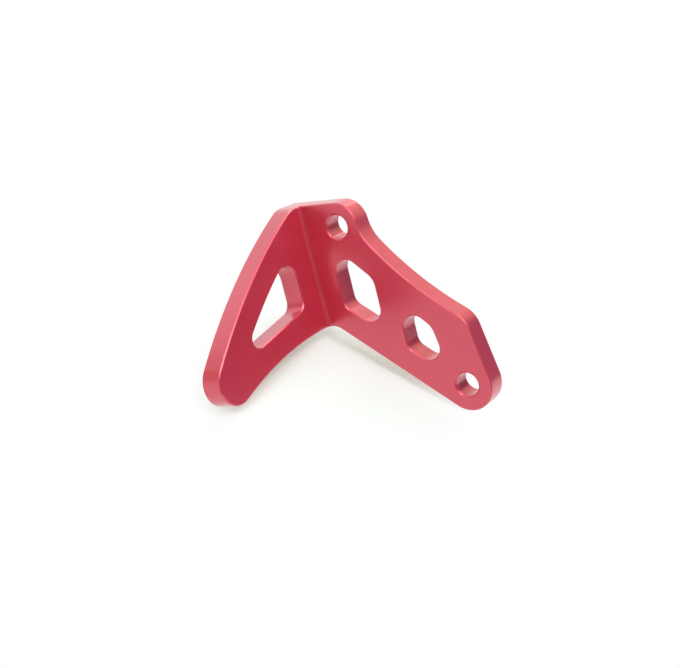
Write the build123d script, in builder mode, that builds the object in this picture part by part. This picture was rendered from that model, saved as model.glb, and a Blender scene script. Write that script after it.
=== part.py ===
"""Right-angle guard bracket, machined from one piece of aluminium.

Millimetres, +Z up along the fold between the two plates. The origin is the
centre of the upper bolt hole on the mounting face, which is the plane Y = 0.
The mounting plate is plate_thickness thick, from there towards -Y. The fin
stands at its left edge and reaches on along -Y, past the plate's front face.
"""

import os
from math import asin, atan2, cos, degrees, hypot, radians, sin, sqrt, tan

from build123d import *

# Plates and edges
plate_thickness = 6.0
edge_break = 0.3  # bevel along every outline and window
fold_radius = 1.0  # cutter radius left in the inside corner

# Bolt holes, for M6 screws
bolt_hole_diameter = 6.5
bolt_hole_bevel = 0.4
lower_hole_across = 28.6  # from the upper hole, away from the fin
lower_hole_drop = 45.8

# Outline of the mounting plate
fin_to_upper_hole = 10.8  # the fin's inner face to the upper hole's centre
upper_boss_radius = 6.55
lower_boss_radius = 7.2
top_edge_slope = 3.6  # degrees, rising towards the fin
foot_drop = 27.1  # the foot's level below the upper hole
foot_reach = 2.6  # level stretch of the foot past the fin's inner face
foot_radius = 5.0
neck_angle = 19.0  # degrees below level, where the sweep leaves the upper boss
neck_radius = 11.5
sweep_radius = 95.0
shoulder_across = 32.5
shoulder_drop = 28.2
shoulder_radius = 6.9

# Windows of the mounting plate, between one upper and one lower line
window_top_slope = 44.8  # degrees
window_top_clearance = 5.6  # upper hole's centre to the upper line
window_rail = 6.75  # lower line to the plate's lower edge
near_window_start = 6.9  # from the fin's inner face
near_window_width = 11.25
window_rib = 6.05  # upright rib between the two windows
far_window_straight = 1.95  # straight stretch of its upper edge, between the roundings
near_window_radius = 3.6
near_window_wide_radius = 5.0
far_window_radius = 3.5
far_window_wide_radius = 5.0

# Fin
fin_top_reach = 2.0  # the plate's front face to the top corner, before that is rounded
fin_top_radius = 8.5
fin_edge_slope = 25.3  # degrees below level, where the outer edge leaves the top corner
fin_edge_radius = 146.5
fin_tip_radius = 6.35
fin_foot_reach = 3.0  # level stretch of the foot past the plate's front face
fin_lower_radius = 98.7
fin_rim = 7.1  # outer edge to the window, both round one centre
fin_window_start = 8.1  # from the mounting plate's front face
fin_window_floor_rise = 9.4  # foot level to the window's floor line, at that face
fin_window_floor_slope = 10.8  # degrees
fin_window_top_radius = 4.2
fin_window_heel_radius = 3.2  # the floor's upper end
fin_window_toe_radius = 2.4  # the floor's lower end


def towards(point, heading, length):
    """The point that lies a length away in a direction, in degrees."""
    return (point[0] + length * cos(radians(heading)), point[1] + length * sin(radians(heading)))


def heading_between(start, end):
    return degrees(atan2(end[1] - start[1], end[0] - start[0]))


def touch(point, centre, radius, side):
    """Heading from a point to a circle's edge, and where it touches: side 1 is left of the way there, -1 right."""
    reach = hypot(centre[0] - point[0], centre[1] - point[1])
    heading = heading_between(point, centre) + side * degrees(asin(radius / reach))
    return heading, towards(point, heading, sqrt(reach**2 - radius**2))


def crossing(point_a, heading_a, point_b, heading_b):
    """Where two lines cross."""
    across = sin(radians(heading_b - heading_a))
    dx, dz = point_b[0] - point_a[0], point_b[1] - point_a[1]
    along = (dx * sin(radians(heading_b)) - dz * cos(radians(heading_b))) / across
    return towards(point_a, heading_a, along)


def ring_crossing(centre_a, radius_a, centre_b, radius_b, side):
    """Where two circles cross: side 1 is left of the way from a to b, -1 right."""
    apart = hypot(centre_b[0] - centre_a[0], centre_b[1] - centre_a[1])
    along = (apart**2 + radius_a**2 - radius_b**2) / (2 * apart)
    turn = degrees(atan2(side * sqrt(radius_a**2 - along**2), along))
    return towards(centre_a, heading_between(centre_a, centre_b) + turn, radius_a)


def rounding_reach(turn, radius):
    """Length that a rounded corner takes from each of its sides, from its turn in degrees."""
    return radius * tan(radians(turn / 2))


def round_corners(sketch, corners):
    """Rounds the sketch at each named corner by its own radius."""
    for corner, radius in corners:
        fillet(sketch.vertices().sort_by_distance(Vector(*corner))[0], radius=radius)


# Places on the mounting plate, as X and Z
upper_hole = (0.0, 0.0)
lower_hole = (lower_hole_across, -lower_hole_drop)
fin_inner = -fin_to_upper_hole
fin_outer = fin_inner - plate_thickness
foot = -foot_drop
foot_bend = (fin_inner + foot_reach, foot)
shoulder = (shoulder_across, -shoulder_drop)
neck = towards(upper_hole, -neck_angle, upper_boss_radius)
top_touch = towards(upper_hole, 90 - top_edge_slope, upper_boss_radius)
side_heading, side_touch = touch(shoulder, lower_hole, lower_boss_radius, 1)
lower_heading, lower_touch = touch(foot_bend, lower_hole, lower_boss_radius, -1)


def top_at(x):
    """Height of the sloping top edge."""
    return top_touch[1] - (x - top_touch[0]) * tan(radians(top_edge_slope))


window_top = towards(upper_hole, -90 - window_top_slope, window_top_clearance)
window_floor = towards(foot_bend, lower_heading + 90, window_rail)
near_left = fin_inner + near_window_start
near_right = near_left + near_window_width
far_left = near_right + window_rib
far_corner = crossing((far_left, 0), 90, window_top, -window_top_slope)
far_upper_length = (
    rounding_reach(90 + window_top_slope, far_window_radius)
    + far_window_straight
    + rounding_reach(-window_top_slope - side_heading, far_window_wide_radius)
)
far_wide_corner = towards(far_corner, -window_top_slope, far_upper_length)

near_window = [
    (crossing((near_left, 0), 90, window_top, -window_top_slope), near_window_radius),
    (crossing((near_right, 0), 90, window_top, -window_top_slope), near_window_wide_radius),
    (crossing((near_right, 0), 90, window_floor, lower_heading), near_window_radius),
    (crossing((near_left, 0), 90, window_floor, lower_heading), near_window_radius),
]
far_window = [
    (far_corner, far_window_radius),
    (far_wide_corner, far_window_wide_radius),
    (crossing(far_wide_corner, side_heading, window_floor, lower_heading), far_window_radius),
    (crossing((far_left, 0), 90, window_floor, lower_heading), far_window_radius),
]

# Places on the fin, as the distance in front of the mounting face, and Z
front = plate_thickness
fin_blank_top = top_at(fin_outer) + edge_break
fin_top_corner = (front + fin_top_reach, fin_blank_top)
edge_centre = towards(fin_top_corner, -90 - fin_edge_slope, fin_edge_radius)
fin_foot_end = (front + fin_foot_reach, foot)
lower_centre = (fin_foot_end[0], foot - fin_lower_radius)
fin_tip = ring_crossing(edge_centre, fin_edge_radius, lower_centre, fin_lower_radius, 1)

# The fin's plane is its inner face: x runs away from the mounting face, y up, and the thickness goes to -X
fin_plane = Plane(origin=(fin_inner, 0, 0), x_dir=(0, -1, 0), z_dir=(-1, 0, 0))

with BuildSketch(Plane.XZ) as mounting_outline:
    with BuildLine():
        Line((fin_outer, foot), (fin_outer, top_at(fin_outer)))
        Line((fin_outer, top_at(fin_outer)), top_touch)
        CenterArc(upper_hole, upper_boss_radius, 90 - top_edge_slope, top_edge_slope - 90 - neck_angle)
        RadiusArc(neck, shoulder, -sweep_radius)
        Line(shoulder, side_touch)
        CenterArc(lower_hole, lower_boss_radius, side_heading + 90, lower_heading - side_heading - 180)
        Line(lower_touch, foot_bend)
        Line(foot_bend, (fin_outer, foot))
    make_face()
    round_corners(mounting_outline, [(neck, neck_radius), (shoulder, shoulder_radius), (foot_bend, foot_radius)])

with BuildSketch(Plane.XZ) as mounting_windows:
    for window in (near_window, far_window):
        with BuildLine():
            Polyline(*[corner for corner, radius in window], close=True)
        make_face()
    round_corners(mounting_windows, near_window + far_window)

with BuildSketch(fin_plane) as fin_outline:
    with BuildLine():
        Line((0, foot), (0, fin_blank_top))
        Line((0, fin_blank_top), fin_top_corner)
        RadiusArc(fin_top_corner, fin_tip, fin_edge_radius)
        RadiusArc(fin_tip, fin_foot_end, -fin_lower_radius)
        Line(fin_foot_end, (0, foot))
    make_face()
    round_corners(fin_outline, [(fin_tip, fin_tip_radius)])

fin_side = front + fin_window_start
fin_floor = (front, foot + fin_window_floor_rise)
window_edge_radius = fin_edge_radius - fin_rim
fin_window_top = (
    fin_side,
    edge_centre[1] + sqrt(window_edge_radius**2 - (fin_side - edge_centre[0]) ** 2),
)
fin_window_heel = crossing((fin_side, 0), 90, fin_floor, -fin_window_floor_slope)


def floor_meets_edge():
    """Where the fin window's floor line crosses the inner circle of the rim."""
    away = (fin_floor[0] - edge_centre[0], fin_floor[1] - edge_centre[1])
    step = (cos(radians(fin_window_floor_slope)), -sin(radians(fin_window_floor_slope)))
    middle = away[0] * step[0] + away[1] * step[1]
    gap = away[0] ** 2 + away[1] ** 2 - window_edge_radius**2
    return towards(fin_floor, -fin_window_floor_slope, sqrt(middle**2 - gap) - middle)


fin_window_toe = floor_meets_edge()

with BuildSketch(fin_plane) as fin_window:
    with BuildLine():
        Line(fin_window_top, fin_window_heel)
        Line(fin_window_heel, fin_window_toe)
        RadiusArc(fin_window_toe, fin_window_top, -window_edge_radius)
    make_face()
    round_corners(
        fin_window,
        [
            (fin_window_top, fin_window_top_radius),
            (fin_window_heel, fin_window_heel_radius),
            (fin_window_toe, fin_window_toe_radius),
        ],
    )

with BuildPart() as guard_bracket:
    # The fin, with its top cut to the slope of the mounting plate's top edge
    extrude(fin_outline.sketch, amount=plate_thickness)
    top_normal = (sin(radians(top_edge_slope)), 0, cos(radians(top_edge_slope)))
    split(bisect_by=Plane(origin=(fin_outer, 0, top_at(fin_outer)), z_dir=top_normal), keep=Keep.BOTTOM)
    top_corner = guard_bracket.edges().sort_by_distance(
        Vector((fin_inner + fin_outer) / 2, -fin_top_corner[0], top_at(fin_inner))
    )[0]
    fillet(top_corner, radius=fin_top_radius)
    extrude(fin_window.sketch, amount=plate_thickness, mode=Mode.SUBTRACT)

    # The mounting plate, with its windows and the inside corner's radius
    extrude(mounting_outline.sketch, amount=plate_thickness)
    extrude(mounting_windows.sketch, amount=plate_thickness, mode=Mode.SUBTRACT)
    inside_corner = guard_bracket.edges().filter_by(Axis.Z).sort_by_distance(Vector(fin_inner, -front, 0))[0]
    fillet(inside_corner, radius=fold_radius)

    # Bevels round the faces of both plates and the ends of the inside corner
    plates = guard_bracket.faces().filter_by(GeomType.PLANE).sort_by(SortBy.AREA)[-4:]
    fold = guard_bracket.faces().sort_by_distance(Vector(fin_inner, -front, foot / 2))[0]
    seams = fold.edges().filter_by(Axis.Z)
    rims = [edge for edge in plates.edges() + fold.edges() if edge not in seams]
    chamfer(list(dict.fromkeys(rims)), length=edge_break)

    # Bolt holes, beveled at both ends
    with Locations(Plane.XZ):
        with Locations(upper_hole, lower_hole):
            Hole(radius=bolt_hole_diameter / 2)
    mouths = guard_bracket.edges(Select.LAST).filter_by(GeomType.CIRCLE)
    chamfer(mouths, length=bolt_hole_bevel)

guard_bracket.part.label = "guard_bracket"
os.makedirs("parts", exist_ok=True)
export_step(guard_bracket.part, "parts/guard_bracket.step")
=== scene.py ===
"""Right-angle guard bracket in red anodised aluminium, resting on a pale floor."""

from math import cos, pi, radians, sin

import bmesh
import bpy
from mathutils import Matrix, Quaternion, Vector


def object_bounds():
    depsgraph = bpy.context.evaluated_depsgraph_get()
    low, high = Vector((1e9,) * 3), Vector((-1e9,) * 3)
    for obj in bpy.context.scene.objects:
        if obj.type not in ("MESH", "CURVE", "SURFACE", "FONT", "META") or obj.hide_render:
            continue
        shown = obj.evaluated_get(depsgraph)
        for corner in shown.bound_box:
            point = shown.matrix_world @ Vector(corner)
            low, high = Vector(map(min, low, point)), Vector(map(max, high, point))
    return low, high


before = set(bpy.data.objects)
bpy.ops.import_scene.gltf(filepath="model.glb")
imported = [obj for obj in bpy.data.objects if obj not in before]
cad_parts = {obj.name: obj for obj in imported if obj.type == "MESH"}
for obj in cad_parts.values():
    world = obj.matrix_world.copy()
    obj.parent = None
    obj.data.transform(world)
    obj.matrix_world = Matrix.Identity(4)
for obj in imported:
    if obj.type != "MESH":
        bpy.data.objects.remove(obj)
cad_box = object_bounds()

mm = 0.001

# The photograph's frame, and the lens that it was taken with
image_width = 680
image_height = 668
focal_length_px = 1100.0
sensor_width = 36.0  # counted in mm, as the camera's lens is

# The camera's place, turned round the point of the bracket at the picture's centre, by degrees
camera_aim = Vector((0.54, -16.54, -26.44)) * mm
camera_distance = 289.3 * mm
camera_azimuth = 38.245
camera_elevation = 12.457
camera_roll = -14.277
camera_near_limit = 10 * mm

# The three low points that the bracket rests on
fold_foot = Vector((-16.5, -0.3, -27.1)) * mm
fin_tip_underside = Vector((-16.5, -45.9, -33.8)) * mm
plate_tip_underside = Vector((24.8, -0.3, -51.9)) * mm

# The studio, in metres: its floor, screens and lamps, all round one point of the floor
floor_size = 3.0
# Past these distances from the floor's centre the floor turns to painted white, which paints out the
# bracket's shadow there
floor_fade_start = 16 * mm
floor_fade_end = 40 * mm
screen_distance = 0.22
screen_height = 0.26
screen_step = 6.0  # degrees
lamp_distance = 0.6
full_white = 1.0  # strength at which white shows as white
surround_level = 0.16  # light that the white surround gives

# The dyed metal: how large the patches of deeper dye are, and how far it shines as bare metal does
dye_patch = 14 * mm
metal_share = 0.45

# The bead-blasted surface under its clear, sealed layer
blast_grain = 0.35 * mm
blast_depth = 0.01 * mm
blast_strength = 0.25
satin_patch = 1.5 * mm
satin_smooth = 0.33
satin_rough = 0.39
seal_roughness = 0.23
seal_ior = 1.6

# Paler edges along the bevels. They come on where a rounded edge would face another way than the
# true one does, from the first agreement of the two to the second
edge_wear_reach = 0.25 * mm
edge_wear_patch = 3 * mm
edge_wear_least = 0.3
edge_wear_starts = 0.99
edge_wear_full = 0.9
edge_samples = 4

# The middle of a noise's range, which is spread over the whole of it: gently, or into patches
gentle_low = 0.3
gentle_high = 0.7
patchy_low = 0.35
patchy_high = 0.65

# Linear colours
crimson = (0.69, 0.048, 0.09, 1.0)
deep_crimson = (0.66, 0.044, 0.083, 1.0)
pale_crimson = (0.73, 0.08, 0.12, 1.0)
white = (1.0, 1.0, 1.0, 1.0)
# These five are the colours of glowing screens that only the bracket's reflections see: painted reflections,
# darker or paler by side
pale_warm_grey = (0.78, 0.75, 0.64, 1.0)
warm_grey = (0.60, 0.53, 0.38, 1.0)
dim_grey = (0.28, 0.28, 0.28, 1.0)
dark_blue = (0.11, 0.13, 0.22, 1.0)
near_black = (0.02, 0.02, 0.02, 1.0)
# The floor's grey and glow are tinted together against the red light that the bracket throws on the floor;
# the glow is painted light, which lifts the shadow near the bracket
floor_grey = (0.88, 0.78, 0.84, 1.0)
painted_floor_glow = (0.045, 0.245, 0.145, 1.0)

# Colours of the lamps
plain_white = (1.0, 1.0, 1.0)
warm_white = (1.0, 0.97, 0.86)
cool_white = (0.97, 0.96, 1.0)
soft_white = (0.93, 1.0, 0.93)

# A Mix node's colour sockets share their names with others, so they go by number
first_colour = 6
second_colour = 7
mixed_colour = 2


def link(tree, start, end):
    tree.links.new(start, end)


def feed(tree, socket, given):
    """Links a socket to another, or sets it to a value."""
    if isinstance(given, bpy.types.NodeSocket):
        link(tree, given, socket)
    else:
        socket.default_value = given


def value_node(tree, operation, *inputs):
    """A Math node with its inputs set or linked."""
    node = tree.nodes.new("ShaderNodeMath")
    node.operation = operation
    for socket, given in zip(node.inputs, inputs):
        feed(tree, socket, given)
    return node.outputs[0]


def spread(tree, value, start, end, low=0.0, high=1.0):
    """The stretch of a value from start to end, brought to low to high with soft ends."""
    node = tree.nodes.new("ShaderNodeMapRange")
    node.interpolation_type = "SMOOTHSTEP"
    node.inputs["From Min"].default_value = start
    node.inputs["From Max"].default_value = end
    node.inputs["To Min"].default_value = low
    node.inputs["To Max"].default_value = high
    link(tree, value, node.inputs["Value"])
    return node.outputs[0]


def mixed(tree, share, first, second):
    """A colour between two, each given as a colour or as a socket."""
    node = tree.nodes.new("ShaderNodeMix")
    node.data_type = "RGBA"
    link(tree, share, node.inputs["Factor"])
    feed(tree, node.inputs[first_colour], first)
    feed(tree, node.inputs[second_colour], second)
    return node.outputs[mixed_colour]


def noise(tree, place, grain_size, detail):
    """Noise whose grains are about so many metres across."""
    node = tree.nodes.new("ShaderNodeTexNoise")
    node.inputs["Scale"].default_value = 1 / grain_size
    node.inputs["Detail"].default_value = detail
    link(tree, place, node.inputs["Vector"])
    return node.outputs["Fac"]


def glowing(tree, colour):
    """Shows a colour as it is, whatever light falls on it."""
    node = tree.nodes.new("ShaderNodeEmission")
    node.inputs["Color"].default_value = colour
    node.inputs["Strength"].default_value = full_white
    return node.outputs[0]


def between(tree, share, first, second):
    """A shader between two."""
    node = tree.nodes.new("ShaderNodeMixShader")
    link(tree, share, node.inputs[0])
    link(tree, first, node.inputs[1])
    link(tree, second, node.inputs[2])
    return node.outputs[0]


def seen_directly(tree):
    """1 for a ray from the camera, a reflection or a clear surface, 0 for one that only lights."""
    path = tree.nodes.new("ShaderNodeLightPath")
    rays = value_node(tree, "ADD", path.outputs["Is Camera Ray"], path.outputs["Is Glossy Ray"])
    rays = value_node(tree, "ADD", rays, path.outputs["Is Transmission Ray"])
    return value_node(tree, "MINIMUM", rays, 1.0)


def empty_material(name):
    material = bpy.data.materials.new(name)
    material.use_nodes = True
    material.node_tree.nodes.clear()
    return material, material.node_tree


def put_out(tree, shader):
    """Gives a material its surface."""
    output = tree.nodes.new("ShaderNodeOutputMaterial")
    link(tree, shader, output.inputs["Surface"])


def edge_mask(tree, place):
    """1 along the edges of the bevels, broken up, and 0 on the faces."""
    rounded = tree.nodes.new("ShaderNodeBevel")
    rounded.samples = edge_samples
    rounded.inputs["Radius"].default_value = edge_wear_reach
    geometry = tree.nodes.new("ShaderNodeNewGeometry")
    agreement = tree.nodes.new("ShaderNodeVectorMath")
    agreement.operation = "DOT_PRODUCT"
    link(tree, rounded.outputs[0], agreement.inputs[0])
    link(tree, geometry.outputs["Normal"], agreement.inputs[1])
    edges = spread(tree, agreement.outputs["Value"], edge_wear_starts, edge_wear_full)
    patches = noise(tree, place, edge_wear_patch, detail=3.0)
    patches = spread(tree, patches, patchy_low, patchy_high, low=edge_wear_least)
    return value_node(tree, "MULTIPLY", edges, patches)


def anodised():
    """Dyed and bead-blasted: a fine grain, slow changes of the dye, and paler edges."""
    material, tree = empty_material("red_anodised_aluminium")
    place = tree.nodes.new("ShaderNodeTexCoord").outputs["Object"]
    dye = noise(tree, place, dye_patch, detail=2.0)
    dye = spread(tree, dye, gentle_low, gentle_high)
    faces = mixed(tree, dye, deep_crimson, crimson)
    colour = mixed(tree, edge_mask(tree, place), faces, pale_crimson)
    satin = noise(tree, place, satin_patch, detail=2.0)
    satin = spread(tree, satin, gentle_low, gentle_high, satin_smooth, satin_rough)
    bump = tree.nodes.new("ShaderNodeBump")
    bump.inputs["Strength"].default_value = blast_strength
    bump.inputs["Distance"].default_value = blast_depth
    link(tree, noise(tree, place, blast_grain, detail=1.0), bump.inputs["Height"])
    finish = tree.nodes.new("ShaderNodeBsdfPrincipled")
    finish.inputs["Metallic"].default_value = metal_share
    finish.inputs["Coat Weight"].default_value = 1.0
    finish.inputs["Coat Roughness"].default_value = seal_roughness
    finish.inputs["Coat IOR"].default_value = seal_ior
    link(tree, colour, finish.inputs["Base Color"])
    link(tree, satin, finish.inputs["Roughness"])
    link(tree, bump.outputs[0], finish.inputs["Normal"])
    link(tree, bump.outputs[0], finish.inputs["Coat Normal"])
    put_out(tree, finish.outputs[0])
    return material


def dress(bracket):
    finish = anodised()
    for slot in bracket.material_slots:
        slot.link = "OBJECT"
        slot.material = finish


def light_world():
    """A white surround to look at, with a softer level of light from it."""
    world = bpy.data.worlds.new("studio")
    bpy.context.scene.world = world
    world.use_nodes = True
    tree = world.node_tree
    tree.nodes.clear()
    shown = tree.nodes.new("ShaderNodeBackground")
    shown.inputs["Color"].default_value = white
    lighting = tree.nodes.new("ShaderNodeBackground")
    lighting.inputs["Color"].default_value = white
    lighting.inputs["Strength"].default_value = surround_level
    output = tree.nodes.new("ShaderNodeOutputWorld")
    surround = between(tree, seen_directly(tree), lighting.outputs[0], shown.outputs[0])
    link(tree, surround, output.inputs["Surface"])


def floor_material(centre):
    """Pale floor: shadow near the bracket with a painted glow, painted white further out, white in
    reflections, clear from below.
    """
    material, tree = empty_material("pale_floor")
    coordinates = tree.nodes.new("ShaderNodeTexCoord")
    distance = tree.nodes.new("ShaderNodeVectorMath")
    distance.operation = "DISTANCE"
    link(tree, coordinates.outputs["Object"], distance.inputs[0])
    distance.inputs[1].default_value = centre
    # Further out the floor is painted white, which paints out the bracket's shadow there
    fade = spread(tree, distance.outputs["Value"], floor_fade_start, floor_fade_end)
    path = tree.nodes.new("ShaderNodeLightPath")
    mirrored = value_node(tree, "SUBTRACT", 1.0, path.outputs["Is Camera Ray"])
    whiteness = value_node(tree, "MAXIMUM", fade, mirrored)

    lit = tree.nodes.new("ShaderNodeBsdfDiffuse")
    lit.inputs["Color"].default_value = floor_grey
    # Near the bracket the lit floor gets a painted glow, which lifts its shadow and evens out the bracket's
    # red light on it
    near = tree.nodes.new("ShaderNodeAddShader")
    link(tree, lit.outputs[0], near.inputs[0])
    link(tree, glowing(tree, painted_floor_glow), near.inputs[1])
    shown = between(tree, whiteness, near.outputs[0], glowing(tree, white))
    above = between(tree, seen_directly(tree), lit.outputs[0], shown)

    sides = tree.nodes.new("ShaderNodeNewGeometry")
    clear = tree.nodes.new("ShaderNodeBsdfTransparent")
    put_out(tree, between(tree, sides.outputs["Backfacing"], above, clear.outputs[0]))
    return material


def made(name, shape, material):
    """An object of a finished shape."""
    mesh = bpy.data.meshes.new(name)
    shape.to_mesh(mesh)
    shape.free()
    mesh.materials.append(material)
    thing = bpy.data.objects.new(name, mesh)
    bpy.context.scene.collection.objects.link(thing)
    return thing


def lay_floor(bracket):
    """A flat floor that the bracket's lowest points touch."""
    up = (fin_tip_underside - fold_foot).cross(plate_tip_underside - fold_foot).normalized()
    drop = min(vertex.co.dot(up) for vertex in bracket.data.vertices)
    low, high = cad_box
    middle = (low + high) / 2
    centre = middle + (drop - middle.dot(up)) * up
    shape = bmesh.new()
    bmesh.ops.create_grid(shape, x_segments=1, y_segments=1, size=floor_size / 2)
    turn = up.to_track_quat("Z", "Y").to_matrix().to_4x4()
    bmesh.ops.transform(shape, matrix=Matrix.Translation(centre) @ turn, verts=shape.verts)
    floor = made("floor", shape, floor_material(centre))
    return centre, up


def stand_screen(name, studio, start, end, colour):
    """A curved glowing screen that only reflections show, a painted reflection on the bracket, its ends
    clockwise from straight behind, in degrees.
    """
    centre, up, side, away = studio
    material, tree = empty_material(name)
    put_out(tree, glowing(tree, colour))
    corner = centre + Quaternion(up, radians(-start)) @ away * screen_distance
    shape = bmesh.new()
    foot = shape.verts.new(corner)
    head = shape.verts.new(corner + up * screen_height)
    edge = shape.edges.new((foot, head))
    turn = radians(start - end)
    steps = round((end - start) / screen_step)
    bmesh.ops.spin(shape, geom=[foot, head, edge], cent=centre, axis=up, angle=turn, steps=steps)
    screen = made(name, shape, material)
    screen.visible_camera = False
    screen.visible_diffuse = False
    screen.visible_shadow = False
    screen.visible_transmission = False


def aim(thing, place, target, roll=0.0):
    """Puts a camera or lamp at a place, turned to a target and rolled about its own axis."""
    turn = (target - place).to_track_quat("-Z", "Y") @ Quaternion((0, 0, 1), radians(roll))
    thing.location = place
    thing.rotation_mode = "QUATERNION"
    thing.rotation_quaternion = turn


def place_camera():
    data = bpy.data.cameras.new("camera")
    data.sensor_width = sensor_width
    data.lens = focal_length_px / max(image_width, image_height) * sensor_width
    data.clip_start = camera_near_limit
    camera = bpy.data.objects.new("camera", data)
    bpy.context.scene.collection.objects.link(camera)
    bpy.context.scene.camera = camera
    level = Quaternion((0, 0, 1), radians(camera_azimuth)) @ Vector((0, -1, 0))
    side = Vector((0, 0, 1)).cross(level)
    back = Quaternion(side, radians(-camera_elevation)) @ level
    aim(camera, camera_aim + camera_distance * back, camera_aim, camera_roll)
    return camera


def hang_lamp(name, studio, azimuth, elevation, size, level, colour=plain_white):
    """A square soft lamp, whose level is how bright its face looks against white."""
    centre, up, side, away = studio
    level_way = cos(radians(azimuth)) * away + sin(radians(azimuth)) * side
    way = cos(radians(elevation)) * level_way + sin(radians(elevation)) * up
    data = bpy.data.lights.new(name, "AREA")
    data.size = size
    data.energy = level * pi * size**2
    data.color = colour
    lamp = bpy.data.objects.new(name, data)
    bpy.context.scene.collection.objects.link(lamp)
    aim(lamp, centre + lamp_distance * way, centre)


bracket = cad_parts["guard_bracket"]
dress(bracket)
bpy.context.scene.view_settings.view_transform = "Standard"
light_world()
camera = place_camera()

# The studio's own directions, as the camera sees them: up from the floor, to the right, and away
floor_centre, up = lay_floor(bracket)
right = camera.rotation_quaternion @ Vector((1, 0, 0))
side = (right - right.dot(up) * up).normalized()
away = up.cross(side)
studio = (floor_centre, up, side, away)

# Painted reflections: glowing screens round the bracket that only its reflections see, darker on the front
# and right, paler behind and to the left
stand_screen("back_right_screen", studio, start=14.0, end=55.0, colour=pale_warm_grey)
stand_screen("right_screen", studio, start=55.0, end=108.0, colour=dark_blue)
stand_screen("front_right_screen", studio, start=108.0, end=150.0, colour=dim_grey)
stand_screen("front_screen", studio, start=150.0, end=235.0, colour=near_black)
stand_screen("left_screen", studio, start=248.0, end=290.0, colour=warm_grey)
hang_lamp("key_lamp", studio, azimuth=14.0, elevation=46.0, size=0.32, level=3.8, colour=warm_white)
hang_lamp("left_lamp", studio, azimuth=-60.0, elevation=30.0, size=0.4, level=0.2)
hang_lamp("front_left_lamp", studio, azimuth=-140.0, elevation=36.0, size=0.4, level=2.5, colour=soft_white)
hang_lamp("edge_lamp", studio, azimuth=-148.0, elevation=56.0, size=0.12, level=8.5, colour=soft_white)
hang_lamp("front_right_lamp", studio, azimuth=128.0, elevation=66.0, size=0.35, level=5.4, colour=cool_white)
